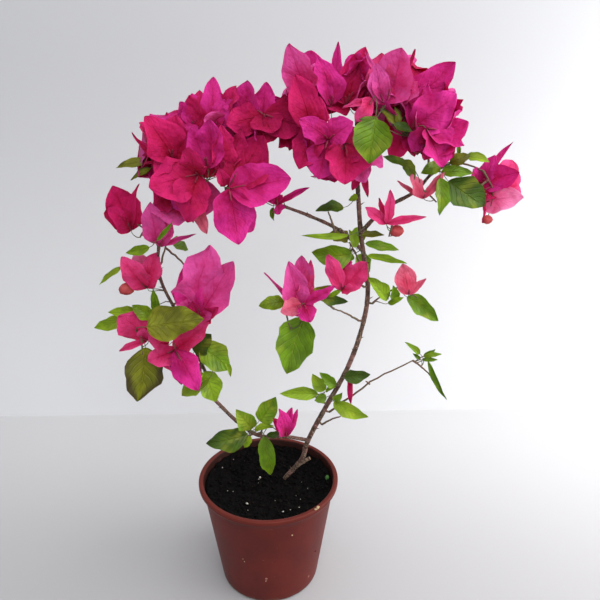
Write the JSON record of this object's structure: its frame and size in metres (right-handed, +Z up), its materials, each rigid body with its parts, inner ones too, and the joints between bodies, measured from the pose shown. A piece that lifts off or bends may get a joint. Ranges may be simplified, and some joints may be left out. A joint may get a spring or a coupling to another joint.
{
  "type": "potted bougainvillea bush",
  "caption": "Young bougainvillea shrub in a round plastic nursery pot, an open fan of slender boughs that end in heads of magenta bracts, with heart-shaped leaves.",
  "frame": {"origin": "centre of the pot's flat underside, where it meets the surface that it stands on", "axes": "+Z up along the pot's axis; +X to the right of someone who faces the plant's open fan, towards the trunk's side; +Y away from them, through the fan's thin side"},
  "size_m": [0.3879, 0.1531, 0.5532],
  "materials": {
    "terracotta_plastic": "satin",
    "compost": "matte",
    "bark": "matte",
    "blossom": "matte",
    "foliage": "satin"
  },
  "bodies": {
    "root": {"arch_bough": "bark", "arch_head": "blossom", "big_bloom_spray": "blossom", "fork_left_spray": "foliage", "fork_right_spray": "blossom", "left_bough_lower": "bark", "left_bough_upper": "bark", "left_low_back_spray": "blossom", "left_low_spray": "blossom", "left_mid_spray": "blossom", "left_side_back_spray": "blossom", "left_side_lower_spray": "blossom", "left_side_upper_spray": "blossom", "low_centre_spray": "blossom", "low_left_sprig": "foliage", "low_right_spray": "foliage", "low_right_sprig": "foliage", "mid_back_spray": "blossom", "mid_bloom_spray": "blossom", "mid_left_spray": "blossom", "mid_right_spray": "blossom", "pot": "terracotta_plastic", "right_bough": "bark", "right_bough_spray": "blossom", "right_end_spray": "blossom", "soil": "compost", "top_head": "blossom", "top_right_head": "blossom", "trunk": "bark", "upper_left_head": "blossom"}
  },
  "joints": []
}
